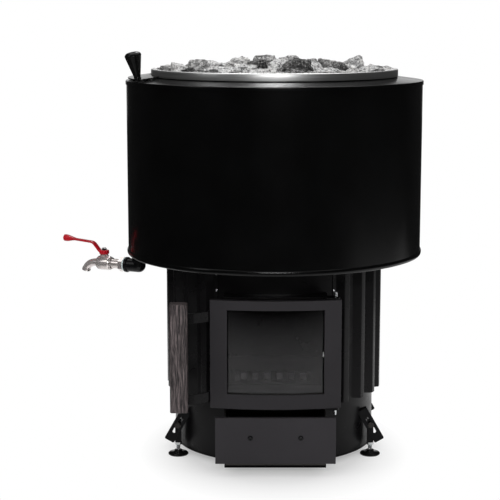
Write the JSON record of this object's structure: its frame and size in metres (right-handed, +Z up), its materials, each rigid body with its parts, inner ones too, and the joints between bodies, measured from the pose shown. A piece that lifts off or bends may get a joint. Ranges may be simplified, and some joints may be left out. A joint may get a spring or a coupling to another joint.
{
  "type": "sauna heater stove",
  "caption": "Free-standing wood-burning sauna stove: ribbed firebox with a glazed door and ash drawer, under a drum-shaped water tank with a tap, a filling hatch and a well of stones.",
  "frame": {"origin": "on the floor under the middle of the outline seen from above", "axes": "+Z up, -Y towards the front with the firebox door, -X towards the tap"},
  "size_m": [0.7486, 0.6144, 0.8182],
  "materials": {
    "charcoal_paint": "heat-proof charcoal paint, satin matt",
    "raw_iron": "bare, scaled by heat",
    "gloss_enamel": "gloss black enamel",
    "ring_steel": "brushed round the ring",
    "bright_zinc": "bright zinc plate",
    "nickel": "satin nickel plate",
    "red_coat": "smooth red dip coat",
    "black_fitting": "gloss black",
    "black_plastic": "polished black moulding",
    "dark_wood": "stained, fine open grain",
    "stove_glass": "dark ceramic stove glass",
    "seal_rope": "braided glass-fibre seal",
    "sauna_stone": "broken grey rock"
  },
  "bodies": {
    "stove": {"base_plate": "charcoal_paint", "firebox_shell": "charcoal_paint", "firebox_crown": "raw_iron", "hearth_plate": "raw_iron", "grate": "raw_iron", "flue_collar": "charcoal_paint", "mantle_left": "charcoal_paint", "mantle_right": "charcoal_paint", "tank_bearer": "charcoal_paint", "door_frame": "charcoal_paint", "hinge_pin_upper": "bright_zinc", "hinge_pin_lower": "bright_zinc", "catch_keeper": "bright_zinc", "drawer_guide_left": "raw_iron", "drawer_guide_right": "raw_iron", "leg_strut_front_left": "charcoal_paint", "leg_strut_front_right": "charcoal_paint", "leg_strut_rear_left": "charcoal_paint", "leg_strut_rear_right": "charcoal_paint", "foot_carrier_front_left": "charcoal_paint", "foot_carrier_front_right": "charcoal_paint", "foot_carrier_rear_left": "charcoal_paint", "foot_carrier_rear_right": "charcoal_paint", "leg_bolt_front_left": "raw_iron", "leg_bolt_front_right": "raw_iron", "leg_bolt_rear_left": "raw_iron", "leg_bolt_rear_right": "raw_iron", "tank_shell": "gloss_enamel", "tank_inner_wall": "raw_iron", "tank_floor": "gloss_enamel", "tank_cover": "gloss_enamel", "stone_ring": "ring_steel", "lid_hinge_pin": "bright_zinc", "stone_bed": "sauna_stone", "tank_elbow": "black_fitting", "union_nut": "nickel", "tap_body": "nickel"},
    "door": {"door_panel": "charcoal_paint", "glass_gasket": "seal_rope", "door_glass": "stove_glass", "glass_retainer": "raw_iron", "handle_bar": "dark_wood", "handle_bracket_upper": "charcoal_paint", "handle_bracket_lower": "charcoal_paint", "door_catch": "bright_zinc"},
    "ash_drawer": {"drawer_front": "charcoal_paint", "drawer_tray": "raw_iron", "drawer_bolt_left": "charcoal_paint", "drawer_bolt_right": "charcoal_paint"},
    "hatch": {"hatch_lid": "gloss_enamel", "lid_knob": "black_plastic"},
    "tap_handle": {"tap_lever": "red_coat", "tap_stem": "nickel", "lever_nut": "bright_zinc", "tap_ball": "nickel"},
    "foot_front_left": {"levelling_foot_front_left": "bright_zinc"},
    "foot_front_right": {"levelling_foot_front_right": "bright_zinc"},
    "foot_rear_left": {"levelling_foot_rear_left": "bright_zinc"},
    "foot_rear_right": {"levelling_foot_rear_right": "bright_zinc"}
  },
  "joints": [
    {"name": "door_hinge", "type": "hinge", "parent": "stove", "child": "door", "pos_m": [0.18777, -0.23082, 0.242], "axis": [0, 0, 1], "range_deg": [0, 110]},
    {"name": "drawer_slide", "type": "slide", "parent": "stove", "child": "ash_drawer", "axis": [0, -1, 0], "range_m": [0, 0.24]},
    {"name": "hatch_hinge", "type": "hinge", "parent": "stove", "child": "hatch", "pos_m": [-0.14508, 0.16467, 0.76757], "axis": [-0.7815, 0.6105, -0.1288], "range_deg": [0, 95]},
    {"name": "tap_turn", "type": "hinge", "parent": "stove", "child": "tap_handle", "pos_m": [-0.28336, 0.03029, 0.39], "axis": [0, 0, 1], "range_deg": [-90, 0]},
    {"name": "front_left_levelling", "type": "slide", "parent": "stove", "child": "foot_front_left", "axis": [0, 0, -1], "range_m": [0, 0.018]},
    {"name": "front_right_levelling", "type": "slide", "parent": "stove", "child": "foot_front_right", "axis": [0, 0, -1], "range_m": [0, 0.018]},
    {"name": "rear_left_levelling", "type": "slide", "parent": "stove", "child": "foot_rear_left", "axis": [0, 0, -1], "range_m": [0, 0.018]},
    {"name": "rear_right_levelling", "type": "slide", "parent": "stove", "child": "foot_rear_right", "axis": [0, 0, -1], "range_m": [0, 0.018]}
  ]
}
